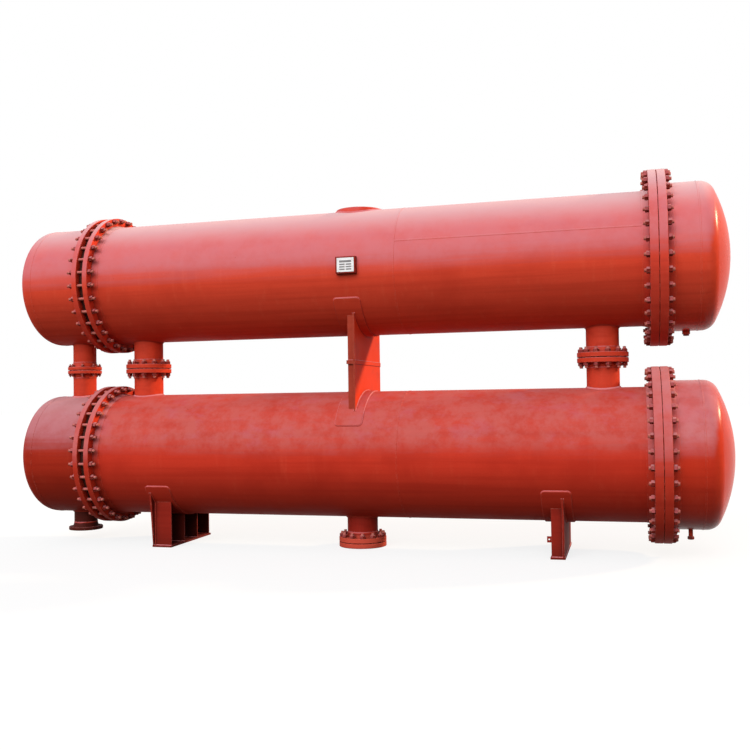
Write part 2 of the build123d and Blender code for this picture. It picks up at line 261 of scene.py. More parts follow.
class Graph:
    """Small helper that adds shader nodes and links them."""

    def __init__(self, name):
        self.material = bpy.data.materials.new(name)
        self.material.use_nodes = True
        self.tree = self.material.node_tree
        self.tree.nodes.clear()
        self.output = self.add("ShaderNodeOutputMaterial")

    def add(self, kind, inputs=None, **settings):
        """Add a node, with settings as attributes and inputs as constants or sockets."""
        node = self.tree.nodes.new(kind)
        for key, value in settings.items():
            setattr(node, key, value)
        for key, value in (inputs or {}).items():
            if isinstance(value, bpy.types.NodeSocket):
                self.tree.links.new(value, node.inputs[key])
            else:
                node.inputs[key].default_value = value
        return node

    def noise(self, scale, detail=4.0, stretch=(1, 1, 1), rough=0.55):
        """Noise in the frame of the solids, stretched along the axes."""
        coords = self.add("ShaderNodeTexCoord").outputs["Object"]
        mapped = self.add("ShaderNodeMapping", {"Vector": coords, "Scale": stretch})
        inputs = {"Vector": mapped.outputs[0], "Scale": scale, "Detail": detail, "Roughness": rough}
        return self.add("ShaderNodeTexNoise", inputs).outputs["Fac"]

    def band(self, value, low, high, out_low=0.0, out_high=1.0):
        """Map a range of values smoothly onto another."""
        inputs = {"Value": value, "From Min": low, "From Max": high, "To Min": out_low, "To Max": out_high}
        return self.add("ShaderNodeMapRange", inputs, interpolation_type="SMOOTHSTEP").outputs[0]

    def math(self, operation, first, second):
        """Sum, product or the like of two values."""
        return self.add("ShaderNodeMath", {0: first, 1: second}, operation=operation).outputs[0]

    def colours(self, factor, first, second):
        """Blend two colours, given as constants or sockets."""
        first, second = [(*tone, 1) if isinstance(tone, tuple) else tone for tone in (first, second)]
        return self.add("ShaderNodeMix", {0: factor, 6: first, 7: second}, data_type="RGBA").outputs[2]

    def facing(self, axis):
        """How far the surface looks along an axis, from -1 to 1."""
        normal = self.add("ShaderNodeNewGeometry").outputs["Normal"]
        return self.add("ShaderNodeSeparateXYZ", {0: normal}).outputs[axis]

    def edges(self, radius):
        """Mask of the sharp edges of a piece."""
        soft = self.add("ShaderNodeBevel", {"Radius": radius}, samples=4).outputs[0]
        true = self.add("ShaderNodeNewGeometry").outputs["Normal"]
        alike = self.add("ShaderNodeVectorMath", {0: soft, 1: true}, operation="DOT_PRODUCT")
        return self.band(alike.outputs["Value"], 0.995, 0.90)

    def corners(self, reach):
        """Mask of the inside corners and gaps between pieces."""
        hollow = self.add("ShaderNodeAmbientOcclusion", {"Distance": reach}, samples=6).outputs["AO"]
        return self.band(hollow, 0.80, 0.25)

    def bump(self, height, strength, distance, normal=None):
        """Bump from a height value."""
        inputs = {"Height": height, "Strength": strength, "Distance": distance}
        if normal:
            inputs["Normal"] = normal
        return self.add("ShaderNodeBump", inputs).outputs[0]

    def finish(self, constants, **linked):
        """Close the graph with one shader, given constant and linked inputs."""
        shader = self.add("ShaderNodeBsdfPrincipled", constants)
        for key, socket in linked.items():
            self.tree.links.new(socket, shader.inputs[key.replace("_", " ")])
        self.tree.links.new(shader.outputs[0], self.output.inputs["Surface"])
        return self.material


def primer(name, colour, chalk_and_sheen, chalk_and_sheen_from=0.02, chalk_and_sheen_colour=CHALK_AND_SHEEN_PINK, bleach_and_highlight=0.0, shade=0.20, wear_and_highlight=0.4,
           patchy=0.4, painted_sun=0.0, dust=0.0, grime_and_shade=0.0, grime_and_shade_reach=0.05, gloss=0.05, rough=(0.53, 0.69)):
    """Red oxide primer with streaks and small chips.

    Chalking with a painted sky reflection where it looks up, sun bleaching with a painted highlight on the
    crown, painted shade underneath, worn edges with a painted highlight, painted sunlight in a brighter red
    where it looks along +X, dust near the ground, and soiling with painted shade in the corners.
    """
    graph = Graph(name)
    deep = (colour[0] * 0.74, colour[1] * 0.62, colour[2] * 0.62)
    faded = (min(colour[0] * 1.08, 1), colour[1] * 1.7, colour[2] * 1.9)
    clouds = graph.noise(1.7, 5.0)
    drips = graph.noise(1.0, 5.0, DRIP_STRETCH)
    sweep = graph.noise(1.0, 5.0, SWEEP_STRETCH)
    streaks = graph.noise(1.0, 6.0, STREAK_STRETCH)
    grain = graph.noise(90.0, 3.0)
    tone = graph.colours(graph.band(clouds, 0.30, 0.56, 0.45, 1.0), deep, colour)
    tone = graph.colours(graph.band(drips, 0.52, 0.80, 0.0, 0.40), tone, faded)
    tone = graph.colours(graph.band(streaks, 0.42, 0.68, 0.0, 0.45), tone, deep)
    tone = graph.colours(graph.band(grain, 0.38, 0.75, 0.0, 0.16), tone, deep)
    up = graph.facing("Z")
    # Painted shade: darker red where the surface looks down.
    tone = graph.colours(graph.band(up, -0.05, -0.55, 0.0, shade), tone, UNDERSIDE_SHADE)
    # Painted sunlight: faces looking along +X turn a brighter red, in cloudy patches.
    sun_side = graph.band(graph.facing("X"), 0.15, 0.90)
    sunlit_share = graph.math("MULTIPLY", sun_side, graph.band(clouds, 0.32, 0.60, 0.45 * painted_sun, painted_sun))
    tone = graph.colours(sunlit_share, tone, SUNLIT_RED)
    # Chalking and painted sky reflection where the surface looks up, with patches and bruises in it.
    uneven = graph.math("SUBTRACT", up, graph.math("MULTIPLY", sun_side, SUN_SIDE_SHIFT))
    uneven = graph.math("ADD", uneven, graph.band(sweep, 0.25, 0.75, -CHALK_AND_SHEEN_WANDER, CHALK_AND_SHEEN_WANDER))
    uneven = graph.math("ADD", uneven, graph.band(streaks, 0.25, 0.75, -CHALK_AND_SHEEN_WANDER, CHALK_AND_SHEEN_WANDER))
    chalk_and_sheen_share = graph.band(uneven, chalk_and_sheen_from - CHALK_AND_SHEEN_FADE, chalk_and_sheen_from + CHALK_AND_SHEEN_FADE, 0.0, chalk_and_sheen)
    blotches = graph.band(graph.noise(5.5, 7.0, rough=0.68), 0.34, 0.62, 1 - patchy, 1.0)
    tone = graph.colours(graph.math("MULTIPLY", chalk_and_sheen_share, blotches), tone, chalk_and_sheen_colour)
    bruises = graph.band(graph.noise(4.2, 7.0, (0.8, 1.3, 1.3), 0.66), 0.50, 0.66, 0.0, 0.6 * patchy)
    tone = graph.colours(graph.math("MULTIPLY", chalk_and_sheen_share, bruises), tone, BRUISED)
    # Sun bleaching and a painted highlight on surfaces that look steeply up.
    if bleach_and_highlight:
        bleach_and_highlight_share = graph.band(up, 0.42, 0.98, 0.0, bleach_and_highlight)
        tone = graph.colours(bleach_and_highlight_share, tone, BLEACH_AND_HIGHLIGHT)
    chips = graph.band(graph.noise(26.0, 6.0, rough=0.7), 0.70, 0.735, 0.0, 0.7)
    tone = graph.colours(chips, tone, CHIPPED)
    # Worn paint and a painted highlight along the edges.
    edge_break = graph.band(graph.noise(38.0, 4.0), 0.40, 0.62, 0.0, wear_and_highlight)
    edge = graph.math("MULTIPLY", graph.edges(EDGE_REACH), edge_break)
    tone = graph.colours(edge, tone, WORN_AND_HIGHLIGHTED_EDGE)
    if dust:
        coords = graph.add("ShaderNodeTexCoord").outputs["Object"]
        height = graph.add("ShaderNodeSeparateXYZ", {0: coords}).outputs["Z"]
        cover = graph.band(clouds, 0.30, 0.60, 0.7 * dust, dust)
        settled = graph.math("MULTIPLY", graph.band(height, DUST_TOP, DUST_TOP - DUST_FADE), cover)
        tone = graph.colours(settled, tone, DUSTY_RED)
    # Soiling and painted shade where nearby surfaces hem the surface in.
    if grime_and_shade:
        grime_and_shade_share = graph.math("MULTIPLY", graph.corners(grime_and_shade_reach), grime_and_shade)
        tone = graph.colours(grime_and_shade_share, tone, GRIME_AND_SHADE)
    dullness = graph.band(clouds, 0.25, 0.75, *rough)
    normal = graph.bump(graph.noise(7.0, 3.0), 0.16, 0.006)
    normal = graph.bump(graph.noise(420.0, 2.0), 0.12, 0.0008, normal)
    constants = {"Specular IOR Level": gloss}
    return graph.finish(constants, Base_Color=tone, Roughness=dullness, Normal=normal)


def worn_steel(name, colour):
    """Dull steel with streaks of rust."""
    graph = Graph(name)
    rust = graph.band(graph.noise(18.0, 6.0, rough=0.65), 0.45, 0.68)
    tone = graph.colours(rust, colour, RUST)
    rough = graph.band(graph.noise(60.0, 4.0), 0.3, 0.7, 0.60, 0.85)
    normal = graph.bump(graph.noise(300.0, 3.0), 0.2, 0.0006)
    constants = {"Metallic": 0.1, "Specular IOR Level": 0.1}
    return graph.finish(constants, Base_Color=tone, Roughness=rough, Normal=normal)


def gasket_fibre(name):
    """Matt dark gasket sheet with a fibrous edge."""
    graph = Graph(name)
    fibre = graph.noise(220.0, 4.0, (0.3, 1, 1))
    tone = graph.colours(fibre, GASKET_DARK, GASKET_LIGHT)
    normal = graph.bump(fibre, 0.4, 0.0008)
    return graph.finish({"Roughness": 0.85, "Specular IOR Level": 0.1}, Base_Color=tone, Normal=normal)


def plate_metal(name, dark, light):
    """Brushed plate with faint stains."""
    graph = Graph(name)
    brushed = graph.noise(40.0, 4.0, (0.6, 1, 22))
    stains = graph.band(graph.noise(30.0, 5.0), 0.48, 0.72, 0.0, 0.4)
    tone = graph.colours(brushed, dark, light)
    tone = graph.colours(stains, tone, PLATE_STAIN)
    rough = graph.band(brushed, 0.3, 0.7, 0.36, 0.52)
    normal = graph.bump(brushed, 0.08, 0.0004)
    return graph.finish({"Metallic": 0.1}, Base_Color=tone, Roughness=rough, Normal=normal)


# Paints and finishes
upper_paint = primer("upper_shell_primer", RED, chalk_and_sheen=0.95, bleach_and_highlight=0.9, patchy=0.2)
# The lower exchanger's paints are darker copies of the upper ones, with less sky reflection: painted shade.
shaded_lower_paint = primer("lower_shell_primer", SHADED_LOWER_RED, chalk_and_sheen=0.64, chalk_and_sheen_from=0.15, chalk_and_sheen_colour=DULL_CHALK_AND_SHEEN_PINK,
                     shade=0.26, patchy=0.65)
shaded_lower_channel_paint = primer("lower_channel_primer", (0.36, 0.023, 0.009), chalk_and_sheen=0.92, chalk_and_sheen_from=0.21,
                             chalk_and_sheen_colour=(0.45, 0.155, 0.172), bleach_and_highlight=0.3, shade=0.30, patchy=0.3)
upper_cover_paint = primer("upper_cover_primer", (0.71, 0.066, 0.030), chalk_and_sheen=0.95, bleach_and_highlight=0.9, patchy=0.2,
                           painted_sun=1.0, gloss=0.045, rough=(0.25, 0.30))
shaded_lower_cover_paint = primer("lower_cover_primer", (0.50, 0.032, 0.013), chalk_and_sheen=0.90, chalk_and_sheen_from=0.15,
                           chalk_and_sheen_colour=(0.51, 0.160, 0.168), shade=0.26, painted_sun=1.0, gloss=0.045,
                           rough=(0.25, 0.30))
upper_flange_paint = primer("upper_flange_primer", (0.66, 0.057, 0.030), chalk_and_sheen=0.9, bleach_and_highlight=0.9, wear_and_highlight=0.3,
                            painted_sun=0.5, grime_and_shade=0.75)
shaded_lower_flange_paint = primer("lower_flange_primer", (0.50, 0.037, 0.018), chalk_and_sheen=0.9, bleach_and_highlight=0.2, wear_and_highlight=0.3,
                            chalk_and_sheen_colour=(0.53, 0.135, 0.135), painted_sun=0.5, grime_and_shade=0.75)
nozzle_paint = primer("nozzle_primer", (0.56, 0.050, 0.024), chalk_and_sheen=0.7, chalk_and_sheen_from=0.35, wear_and_highlight=0.7,
                      painted_sun=0.4, grime_and_shade=0.7)
# Painted shade: the saddles under the shell are painted dark, with wide corner darkening.
shaded_saddle_paint = primer("shaded_saddle_primer", (0.26, 0.017, 0.009), chalk_and_sheen=0.25, chalk_and_sheen_from=0.4, wear_and_highlight=0.5, grime_and_shade=0.9,
                      grime_and_shade_reach=0.30)
# Painted shade: the bottom nozzle under the lower shell is painted dark.
shaded_bottom_paint = primer("shaded_bottom_nozzle_primer", (0.28, 0.018, 0.010), chalk_and_sheen=0.25, chalk_and_sheen_from=0.4, wear_and_highlight=0.5,
                      dust=0.75, grime_and_shade=0.6)
# Painted shade: the outlet nozzle in the shade under the channel is painted near black.
shaded_outlet_paint = primer("shaded_outlet_primer", (0.075, 0.012, 0.008), chalk_and_sheen=0.2, chalk_and_sheen_from=0.4, wear_and_highlight=0.5,
                       grime_and_shade=0.7)
# Painted sunlight at more than full share, so the web's +X face shows bright red.
support_paint = primer("support_primer", (0.36, 0.046, 0.024), chalk_and_sheen=0.3, chalk_and_sheen_from=0.4, wear_and_highlight=0.4,
                       painted_sun=1.4, grime_and_shade=0.5)
weld_paint = primer("weld_primer", (0.50, 0.052, 0.030), chalk_and_sheen=0.9, bleach_and_highlight=0.5, wear_and_highlight=0.0)
# Painted shade: the nuts and plugs are painted dark for the shadows round them.
shaded_nut_paint = primer("shaded_nut_primer", (0.20, 0.018, 0.012), chalk_and_sheen=0.55, bleach_and_highlight=0.3, wear_and_highlight=0.9, grime_and_shade=0.6)
shaded_tubesheet_steel = worn_steel("tubesheet_edge", SHADED_TUBESHEET_EDGE)
stud_paint = primer("stud_primer", (0.50, 0.15, 0.11), chalk_and_sheen=0.6, wear_and_highlight=0.9)
gasket_sheet = gasket_fibre("gasket_sheet")
plate_finish = plate_metal("nameplate_metal", (0.63, 0.63, 0.63), (0.77, 0.77, 0.76))
field_finish = plate_metal("nameplate_fields", (0.10, 0.09, 0.09), (0.17, 0.16, 0.16))


def node_material(name):
    """Finish for one solid, by its name."""
    if "gasket" in name:
        return gasket_sheet
    if "tubesheet" in name:
        return shaded_tubesheet_steel
    if name.endswith("_pad"):
        return upper_paint if name.startswith("upper") else shaded_lower_paint
    if "saddle" in name or "lug" in name or "bracket" in name:
        return shaded_saddle_paint
    if name == "channel_outlet_nozzle":
        return shaded_outlet_paint
    if name.startswith("bottom_"):
        return shaded_bottom_paint
    if "support" in name:
        return support_paint
    if "nozzle" in name or "drain" in name:
        return nozzle_paint
    if "flange" in name:
        return shaded_lower_flange_paint if name.startswith("lower") else upper_flange_paint
    if name in ("lower_channel_head", "lower_channel_barrel"):
        return shaded_lower_channel_paint
    if "cover_head" in name or "cover_barrel" in name:
        return upper_cover_paint if name.startswith("upper") else shaded_lower_cover_paint
    return upper_paint if name.startswith("upper") else shaded_lower_paint


for node_name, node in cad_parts.items():
    node.data.materials.clear()
    node.data.materials.append(node_material(node_name))


# Places and sizes taken from the solids
def middle_of(node):
    """Middle of a solid's box."""
    low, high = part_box(node)
    return (low + high) / 2


AXIS_HEIGHT = {level: middle_of(f"{level}_channel_barrel").z for level in ("upper", "lower")}
shell_low, shell_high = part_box("upper_shell")
SHELL_RADIUS = (shell_high.z - shell_low.z) / 2
cover_low, cover_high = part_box("upper_cover_barrel")
COVER_RADIUS = (cover_high.z - cover_low.z) / 2


# Stud bolts
def add_nut(piece, place, across, height):
    """Hexagon nut with chamfered corners, standing on a place."""
    flat = across / 2
    corner = across / math.sqrt(3)
    edge = NUT_FACE * flat
    body = ((NUT_CHAMFER, flat, corner), (1 - NUT_CHAMFER, flat, corner))
    rings = []
    for share, side, tip in ((0, edge, edge), *body, (1, edge, edge)):
        ring = []
        for step in range(12):
            radius = side if step % 2 else tip
            turn = math.pi * step / 6
            ring.append(place @ Vector((radius * math.cos(turn), radius * math.sin(turn), share * height)))
        rings.append(ring)
    piece.loft(rings)


def add_rod(piece, place, low, high, size):
    """Round rod with chamfered ends and a few thread turns at each end."""
    groove = THREAD_ROOT * size.radius
    marks = [(low, ROD_TIP * size.radius), (low + 0.5 * size.pitch, size.radius)]
    for turn in range(1, THREADS):
        marks.append((low + turn * size.pitch, groove))
        marks.append((low + (turn + 0.5) * size.pitch, size.radius))
    mirrored = [(high + low - height, radius) for height, radius in reversed(marks)]
    piece.loft([circle(place, radius, height, ROD_SIDES) for height, radius in marks + mirrored])


def add_stud(nuts, rods, place, grip, size, nut_below=True):
    """Stud through a joint from height 0 to the grip, with a nut on each side."""
    reach = size.nut + size.tail
    add_nut(nuts, place @ Matrix.Translation((0, 0, grip)), size.across, size.nut)
    if nut_below:
        add_nut(nuts, place @ Matrix.Rotation(math.pi, 4, "X"), size.across, size.nut)
    add_rod(rods, place, -reach if nut_below else FLUSH_START, grip + reach, size)


def make_studs(name, nuts, rods):
    """Finish the nuts and rods of one joint."""
    nuts.make(f"{name}_nuts", shaded_nut_paint, "red_primer")
    rods.make(f"{name}_studs", stud_paint, "red_primer")


def main_joint(level, first, second, thickness, count, size):
    """Studs round one main flange joint."""
    first_low, first_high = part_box(f"{level}_{first}")
    second_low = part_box(f"{level}_{second}")[0]
    bolt_circle = (first_high.z - first_low.z) / 2 - MAIN_BOLT_EDGE
    start = first_high.x - thickness
    grip = second_low.x + thickness - start
    nuts, rods = Piece(), Piece()
    for step in range(count):
        turn = 2 * math.pi * (step + 0.5) / count
        height = AXIS_HEIGHT[level] + bolt_circle * math.cos(turn)
        origin = Vector((start, bolt_circle * math.sin(turn), height))
        twist = Matrix.Rotation(MAIN_NUT_TWIST * step, 4, "Z")
        add_stud(nuts, rods, along(origin, X_AXIS) @ twist, grip, size)
    make_studs(f"{level}_{first}", nuts, rods)


def nozzle_joint(node, low_face, grip, size, nut_below=True):
    """Studs round the flange pair under a nozzle."""
    low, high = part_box(node)
    bolt_circle = (high.x - low.x) / 2 - size.bolt_edge
    nuts, rods = Piece(), Piece()
    for step in range(size.bolts):
        turn = 2 * math.pi * (step + 0.5) / size.bolts
        offset = bolt_circle * Vector((math.cos(turn), math.sin(turn)))
        origin = Vector((middle_of(node).x + offset.x, offset.y, low_face))
        twist = Matrix.Rotation(NOZZLE_NUT_TWIST * step, 4, "Z")
        add_stud(nuts, rods, Matrix.Translation(origin) @ twist, grip, size.stud, nut_below)
    make_studs(node, nuts, rods)


for level in ("upper", "lower"):
    main_joint(level, "channel_flange", "front_shell_flange", FRONT_FLANGE, FRONT_BOLTS, FRONT_STUD)
    main_joint(level, "rear_shell_flange", "cover_flange", REAR_FLANGE, REAR_BOLTS, REAR_STUD)

NOZZLE_PAIRS = (
    ("left_shell_nozzle", SHELL_NOZZLE),
    ("right_shell_nozzle", SHELL_NOZZLE),
    ("channel_nozzle", CHANNEL_NOZZLE),
)
for pair_name, pair_size in NOZZLE_PAIRS:
    half_grip = pair_size.flange + NOZZLE_FACE
    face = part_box(f"upper_{pair_name}")[0].z
    nozzle_joint(f"upper_{pair_name}", face - half_grip, 2 * half_grip, pair_size)

companion_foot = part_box("bottom_companion_flange")[0].z
bottom_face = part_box("bottom_nozzle")[0].z
bottom_grip = bottom_face + NOZZLE_FACE + SHELL_NOZZLE.flange - companion_foot
nozzle_joint("bottom_nozzle", companion_foot, bottom_grip, SHELL_NOZZLE, nut_below=False)

# Bolts that join the two halves of the support
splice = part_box("upper_support")[0].z
splice_x = middle_of("upper_support").x - WEB_INSET - WEB_PLATE / 2
splice_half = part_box("upper_support")[1].y
splice_nuts, splice_rods = Piece(), Piece()
for place in SPLICE_PLACES:
    splice_foot = Matrix.Translation((splice_x, place * splice_half, splice - BASE_PLATE))
    add_stud(splice_nuts, splice_rods, splice_foot, 2 * BASE_PLATE, SPLICE_BOLT)
make_studs("support_splice", splice_nuts, splice_rods)

# Plugs of the drain fittings
plugs = Piece()
for drain, across, height in DRAIN_PLUGS:
    drain_foot = middle_of(drain)
    drain_foot.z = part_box(drain)[0].z
    add_nut(plugs, along(drain_foot, -Z_AXIS), across, height)
plugs.make("drain_plugs", shaded_nut_paint, "red_primer")


# Weld beads
def seam_section():
    """Low crowned bead lying on a surface."""
    half = SEAM_WIDTH / 2
    side, rise = SEAM_SHOULDER[0] * half, SEAM_SHOULDER[1] * SEAM_HEIGHT
    return (-half, -SEAM_SINK), (-side, rise), (0, SEAM_HEIGHT), (side, rise), (half, -SEAM_SINK)


def fillet_section(leg):
    """Bead in the corner between two surfaces."""
    sink, throat = -FILLET_SINK, FILLET_THROAT * leg
    return (sink, sink), (leg, sink), (throat, throat), (sink, leg)


def add_bead(piece, stations, section, closed=False):
    """Rippled bead along stations of an origin and the two directions of its section."""
    rings = []
    for count, (origin, first, second) in enumerate(stations):
        swell = 1.0 if count % RIPPLE_STEPS else RIPPLE_DIP
        rings.append([origin + swell * (a * first + b * second) for a, b in section])
    piece.loft(rings, closed)


def turns(radius):
    """Angles round a circle, one for each step of a bead."""
    count = RIPPLE_STEPS * round(2 * math.pi * radius / (RIPPLE_STEPS * BEAD_STEP))
    return [2 * math.pi * step / count for step in range(count)]


def hoop(x, level, radius):
    """Stations round a shell."""
    centre = Vector((x, 0, AXIS_HEIGHT[level]))
    for turn in turns(radius):
        outward = Vector((0, math.sin(turn), math.cos(turn)))
        yield centre + radius * outward, X_AXIS, outward


def neck_hoop(x, height, radius):
    """Stations round an upright neck."""
    for turn in turns(radius):
        outward = Vector((math.cos(turn), math.sin(turn), 0))
        yield Vector((x, 0, height)) + radius * outward, Z_AXIS, outward


def root(x, level, radius, direction):
    """Stations round the foot of an upright neck on a shell."""
    for turn in turns(radius):
        outward = Vector((math.cos(turn), math.sin(turn), 0))
        across = radius * outward.y / SHELL_RADIUS
        normal = Vector((0, across, direction * math.sqrt(1 - across * across)))
        origin = Vector((x + radius * outward.x, 0, AXIS_HEIGHT[level])) + SHELL_RADIUS * normal
        yield origin, (outward - outward.dot(normal) * normal).normalized(), direction * Z_AXIS


def straight(start, end, first, second):
    """Stations along a straight line."""
    count = max(2, round((end - start).length / BEAD_STEP))
    for step in range(count + 1):
        yield start.lerp(end, step / count), first, second


def pad_outline(half_width, half_height):
    """Points and outward directions round a rectangle with rounded corners."""
    signs = ((1, 1), (-1, 1), (-1, -1), (1, -1))
    corners = [Vector((a * (half_width - PAD_CORNER), b * (half_height - PAD_CORNER))) for a, b in signs]
    for quarter, corner in enumerate(corners):
        for step in range(PAD_CORNER_STEPS):
            turn = (quarter + step / PAD_CORNER_STEPS) * math.pi / 2
            outward = Vector((math.cos(turn), math.sin(turn)))
            yield corner + PAD_CORNER * outward, outward
        turn = (quarter + 1) * math.pi / 2
        outward = Vector((math.cos(turn), math.sin(turn)))
        start = corner + PAD_CORNER * outward
        end = corners[(quarter + 1) % 4] + PAD_CORNER * outward
        count = round((end - start).length / BEAD_STEP)
        for step in range(count):
            yield start.lerp(end, step / count), outward


def pad_edge(node, level, direction):
    """Stations round a wear pad on its shell."""
    low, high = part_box(node)
    outer = (AXIS_HEIGHT[level] - low.z) if direction == DOWN else (high.z - AXIS_HEIGHT[level])
    half_wrap = SHELL_RADIUS * math.asin(high.y / outer)
    centre = Vector((middle_of(node).x, 0, AXIS_HEIGHT[level]))
    for spot, outward in pad_outline((high.x - low.x) / 2, half_wrap):
        turn = spot.y / SHELL_RADIUS
        normal = Vector((0, math.sin(turn), direction * math.cos(turn)))
        tangent = Vector((0, math.cos(turn), -direction * math.sin(turn)))
        side = outward.x * X_AXIS + outward.y * tangent
        yield centre + spot.x * X_AXIS + SHELL_RADIUS * normal, side, normal


def seat_arc(x, level, seat, half_angle, direction, side):
    """Stations along the curved top of a web under its pad."""
    count = round(2 * seat * half_angle / BEAD_STEP)
    centre = Vector((x, 0, AXIS_HEIGHT[level]))
    for step in range(count + 1):
        turn = (2 * step / count - 1) * half_angle
        normal = Vector((0, math.sin(turn), direction * math.cos(turn)))
        yield centre + seat * normal, side * X_AXIS, normal


def support_beads(node, level, direction, web_side, overhang):
    """Beads that join the plates of one saddle or support half."""
    low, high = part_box(node)
    beads = Piece()
    pad_low, pad_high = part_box(f"{node}_pad")
    seat = (AXIS_HEIGHT[level] - pad_low.z) if direction == DOWN else (pad_high.z - AXIS_HEIGHT[level])
    half_width = (high.x - low.x) / 2
    half_length = high.y - overhang
    base = low.z + BASE_PLATE if direction == DOWN else high.z - BASE_PLATE
    away = -direction * Z_AXIS
    web_x = middle_of(node).x + web_side * (half_width - WEB_INSET - WEB_PLATE / 2)
    for side in (LEFT, RIGHT):
        face_x = web_x + side * WEB_PLATE / 2
        arc = seat_arc(face_x, level, seat, math.asin(high.y / seat), direction, side)
        add_bead(beads, arc, fillet_section(PAD_LEG))
        start, end = Vector((face_x, -half_length, base)), Vector((face_x, half_length, base))
        add_bead(beads, straight(start, end, side * X_AXIS, away), fillet_section(PLATE_LEG))
    rib_face = web_x - web_side * WEB_PLATE / 2
    rib_end = middle_of(node).x - web_side * (half_width - RIB_INSET)
    for place in RIB_PLACES:
        for side in (-1, 1):
            y = place * half_length + side * RIB_PLATE / 2
            top = AXIS_HEIGHT[level] + direction * math.sqrt(seat * seat - y * y)
            foot = Vector((rib_face, y, base))
            up_line = straight(foot, Vector((rib_face, y, top)), side * Y_AXIS, -web_side * X_AXIS)
            add_bead(beads, up_line, fillet_section(PLATE_LEG))
            base_line = straight(foot, Vector((rib_end, y, base)), side * Y_AXIS, away)
            add_bead(beads, base_line, fillet_section(PLATE_LEG))
    beads.make(f"{node}_welds", weld_paint, "red_primer")


for level in ("upper", "lower"):
    barrel_low, barrel_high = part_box(f"{level}_channel_barrel")
    shell_seam = middle_of(f"{level}_tubesheet").x + SHELL_SEAM_FROM_TUBESHEET
    seen_rise = SHELL_SEAM_RISE if level == "upper" else math.pi + SHELL_SEAM_RISE
    shell_lines = ((shell_seam, shell_high.x, seen_rise), (shell_low.x, shell_seam, math.pi))
    barrel_lines = ((barrel_low.x, barrel_high.x, math.pi - SHELL_SEAM_RISE),)
    for part, radius, hoops, lines in (
        ("shell", SHELL_RADIUS, (shell_low.x, shell_seam, shell_high.x), shell_lines),
        ("channel_barrel", SHELL_RADIUS, (barrel_low.x, barrel_high.x), barrel_lines),
        ("cover_barrel", COVER_RADIUS, (cover_low.x, cover_high.x), ()),
    ):
        seams = Piece()
        for seam_x in hoops:
            add_bead(seams, hoop(seam_x, level, radius), seam_section(), closed=True)
        for start_x, end_x, rise in lines:
            outward = Vector((0, -math.cos(rise), math.sin(rise)))
            tangent = X_AXIS.cross(outward)
            line = Vector((0, 0, AXIS_HEIGHT[level])) + radius * outward
            path = straight(line + start_x * X_AXIS, line + end_x * X_AXIS, tangent, outward)
            add_bead(seams, path, seam_section())
        seams.make(f"{level}_{part}_seams", node_material(f"{level}_{part}"), "red_primer")

NECKS = [
    ("bottom_nozzle", "lower", DOWN, SHELL_NOZZLE),
    ("channel_outlet_nozzle", "lower", DOWN, CHANNEL_NOZZLE),
]
for pair_name, pair_size in NOZZLE_PAIRS:
    NECKS.append((f"upper_{pair_name}", "upper", DOWN, pair_size))
    NECKS.append((f"lower_{pair_name}", "lower", UP, pair_size))
for neck_name, level, direction, neck_size in NECKS:
    neck_low, neck_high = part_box(neck_name)
    neck_x = middle_of(neck_name).x
    face = neck_low.z if direction == DOWN else neck_high.z
    hub_end = face - direction * (NOZZLE_FACE + neck_size.flange + NOZZLE_HUB)
    beads = Piece()
    add_bead(beads, root(neck_x, level, neck_size.neck, direction), fillet_section(ROOT_LEG), closed=True)
    add_bead(beads, neck_hoop(neck_x, hub_end, neck_size.neck), seam_section(), closed=True)
    beads.make(f"{neck_name}_welds", weld_paint, "red_primer")

pad_low, pad_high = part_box("top_pad_flange")
pad_bead = Piece()
pad_root = root(middle_of("top_pad_flange").x, "upper", (pad_high.x - pad_low.x) / 2, UP)
add_bead(pad_bead, pad_root, fillet_section(ROOT_LEG), closed=True)
pad_bead.make("top_pad_flange_weld", weld_paint, "red_primer")

for support_name, level, direction, web_side, overhang in (
    ("left_saddle", "lower", DOWN, LEFT, SADDLE_OVERHANG),
    ("right_saddle", "lower", DOWN, RIGHT, SADDLE_OVERHANG),
    ("lower_support", "lower", UP, RIGHT, 0.0),
    ("upper_support", "upper", DOWN, RIGHT, 0.0),
):
    support_beads(support_name, level, direction, web_side, overhang)
    pad_bead = Piece()
    pad_path = pad_edge(f"{support_name}_pad", level, direction)
    add_bead(pad_bead, pad_path, fillet_section(PAD_LEG), closed=True)
    pad_bead.make(f"{support_name}_pad_weld", weld_paint, "red_primer")


# Bare nameplate on its bracket
def add_block(piece, centre, width, depth, height, bevel):
    """Flat block facing -Y with its front edges bevelled."""
    rings = []
    for y, inset in ((depth / 2, 0), (-depth / 2 + bevel, 0), (-depth / 2, bevel)):
        half_w, half_h = width / 2 - inset, height / 2 - inset
        corners = ((-half_w, -half_h), (half_w, -half_h), (half_w, half_h), (-half_w, half_h))
        rings.append([centre + Vector((x, y, z)) for x, z in corners])
    piece.loft(rings)


